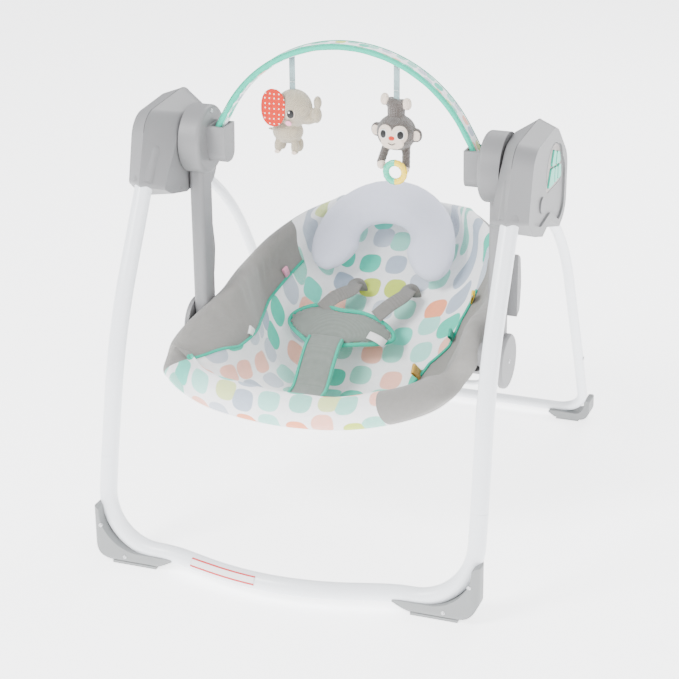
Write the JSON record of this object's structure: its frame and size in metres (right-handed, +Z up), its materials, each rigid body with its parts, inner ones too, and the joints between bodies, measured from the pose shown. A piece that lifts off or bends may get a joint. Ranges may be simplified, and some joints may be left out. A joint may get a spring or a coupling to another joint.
{
  "type": "baby swing",
  "caption": "Portable baby swing: a seat with printed padded cover hangs on two arms from hub housings on folding tubular legs, under an arched toy bar with hanging toys.",
  "frame": {"origin": "centre of the footprint on the floor", "axes": "+Z up, +Y from the front feet towards the rear feet, +X across, towards the hub with the control panel"},
  "size_m": [0.592, 0.7688, 0.721],
  "materials": {
    "frame_paint": "satin",
    "housing": "satin",
    "foot": "matte",
    "sole": "matte",
    "button": "satin",
    "panel": "satin",
    "steel": "satin",
    "copper_coil": "satin",
    "board": "matte",
    "dark": "matte",
    "cell": "satin",
    "bush": "satin",
    "mesh_fabric": "woven",
    "printed_fabric": "woven",
    "pillow_fabric": "soft woven",
    "pad_fabric": "soft woven",
    "plush_elephant": "plush",
    "plush_monkey": "plush",
    "ribbon": "woven",
    "teether": "gloss"
  },
  "bodies": {
    "frame": {"front_base_tube": "frame_paint", "front_leg_tube_left": "frame_paint", "front_leg_tube_right": "frame_paint", "front_foot_left": "foot", "front_foot_right": "foot", "front_soles": "sole", "hub_inner_shell_left": "housing", "hub_inner_shell_right": "housing", "hub_outer_shell_left": "housing", "hub_outer_shell_right": "housing", "swing_axles": "steel", "fold_pins": "steel", "hub_screws": "steel", "control_panel": "panel", "control_board": "board", "drive_electromagnet": "copper_coil", "speaker": "dark", "battery_cells": "cell", "battery_door": "housing"},
    "rear_legs": {"rear_base_tube": "frame_paint", "rear_leg_tube_left": "frame_paint", "rear_leg_tube_right": "frame_paint", "rear_feet": "foot", "rear_soles": "sole", "rear_knuckles": "housing"},
    "snap_button_left": {"snap_button_left": "steel"},
    "snap_button_right": {"snap_button_right": "steel"},
    "leg_release_left": {"leg_release_button_left": "housing"},
    "leg_release_right": {"leg_release_button_right": "housing"},
    "swing": {"swing_arm_left": "housing", "swing_arm_right": "housing", "drum_bushes": "bush", "arm_rear_covers": "housing", "arm_end_caps": "housing", "seat_pivot_pins": "steel", "toy_bar_sockets": "housing", "drive_magnet": "steel"},
    "seat": {"seat_front_rim": "frame_paint", "seat_back_rim": "frame_paint", "seat_brackets": "housing", "recline_wire": "frame_paint", "recline_grip": "dark", "seat_base_pad": "printed_fabric", "seat_front_pad": "printed_fabric", "seat_back_pad": "printed_fabric", "seat_side_wing_left": "mesh_fabric", "seat_side_wing_right": "mesh_fabric", "head_pillow": "pillow_fabric", "waist_pad": "pad_fabric", "crotch_strap": "pad_fabric"},
    "toy_bar": {"toy_bar": "printed_fabric", "toy_straps": "ribbon"},
    "elephant": {"toy_elephant": "plush_elephant"},
    "monkey": {"toy_monkey": "plush_monkey"},
    "teether": {"teether_ring": "teether"},
    "button_power": {"button_power": "button"},
    "button_speed": {"button_speed": "button"},
    "button_timer": {"button_timer": "button"},
    "button_melody": {"button_melody": "button"},
    "button_volume": {"button_volume": "button"}
  },
  "joints": [
    {"name": "rear_fold", "type": "hinge", "parent": "frame", "child": "rear_legs", "pos_m": [0, -0.0176, 0.506], "axis": [-1, 0, 0], "range_deg": [0, 58]},
    {"name": "snap_press_right", "type": "slide", "parent": "rear_legs", "child": "snap_button_right", "axis": [-1, 0, 0], "range_m": [0, 0.0025], "stiffness_N_per_m": 600},
    {"name": "leg_release_press_right", "type": "slide", "parent": "frame", "child": "leg_release_right", "axis": [-1, 0, 0], "range_m": [0, 0.003], "stiffness_N_per_m": 800},
    {"name": "snap_press_left", "type": "slide", "parent": "rear_legs", "child": "snap_button_left", "axis": [1, 0, 0], "range_m": [0, 0.0025], "stiffness_N_per_m": 600},
    {"name": "leg_release_press_left", "type": "slide", "parent": "frame", "child": "leg_release_left", "axis": [1, 0, 0], "range_m": [0, 0.003], "stiffness_N_per_m": 800},
    {"name": "swing_hinge", "type": "hinge", "parent": "frame", "child": "swing", "pos_m": [0, -0.0716, 0.562], "axis": [1, 0, 0], "range_deg": [-15, 15]},
    {"name": "seat_recline", "type": "hinge", "parent": "swing", "child": "seat", "pos_m": [0, -0.0716, 0.274], "axis": [-1, 0, 0], "range_deg": [0, 14]},
    {"name": "toy_bar_lift_off", "type": "slide", "parent": "swing", "child": "toy_bar", "axis": [0, 0, 1], "range_m": [0, 0.06]},
    {"name": "elephant_swing", "type": "hinge", "parent": "toy_bar", "child": "elephant", "pos_m": [-0.08, -0.0716, 0.6575], "axis": [1, 0, 0], "range_deg": [-25, 25]},
    {"name": "monkey_swing", "type": "hinge", "parent": "toy_bar", "child": "monkey", "pos_m": [0.076, -0.0716, 0.6575], "axis": [1, 0, 0], "range_deg": [-25, 25]},
    {"name": "teether_swing", "type": "hinge", "parent": "monkey", "child": "teether", "pos_m": [0.081, -0.0926, 0.564], "axis": [1, 0, 0], "range_deg": [-30, 0]},
    {"name": "press_power", "type": "slide", "parent": "frame", "child": "button_power", "axis": [-1, 0, 0], "range_m": [0, 0.0015], "stiffness_N_per_m": 500},
    {"name": "press_speed", "type": "slide", "parent": "frame", "child": "button_speed", "axis": [-1, 0, 0], "range_m": [0, 0.0015], "stiffness_N_per_m": 500},
    {"name": "press_timer", "type": "slide", "parent": "frame", "child": "button_timer", "axis": [-1, 0, 0], "range_m": [0, 0.0015], "stiffness_N_per_m": 500},
    {"name": "press_melody", "type": "slide", "parent": "frame", "child": "button_melody", "axis": [-1, 0, 0], "range_m": [0, 0.0015], "stiffness_N_per_m": 500},
    {"name": "press_volume", "type": "slide", "parent": "frame", "child": "button_volume", "axis": [-1, 0, 0], "range_m": [0, 0.0015], "stiffness_N_per_m": 500}
  ]
}
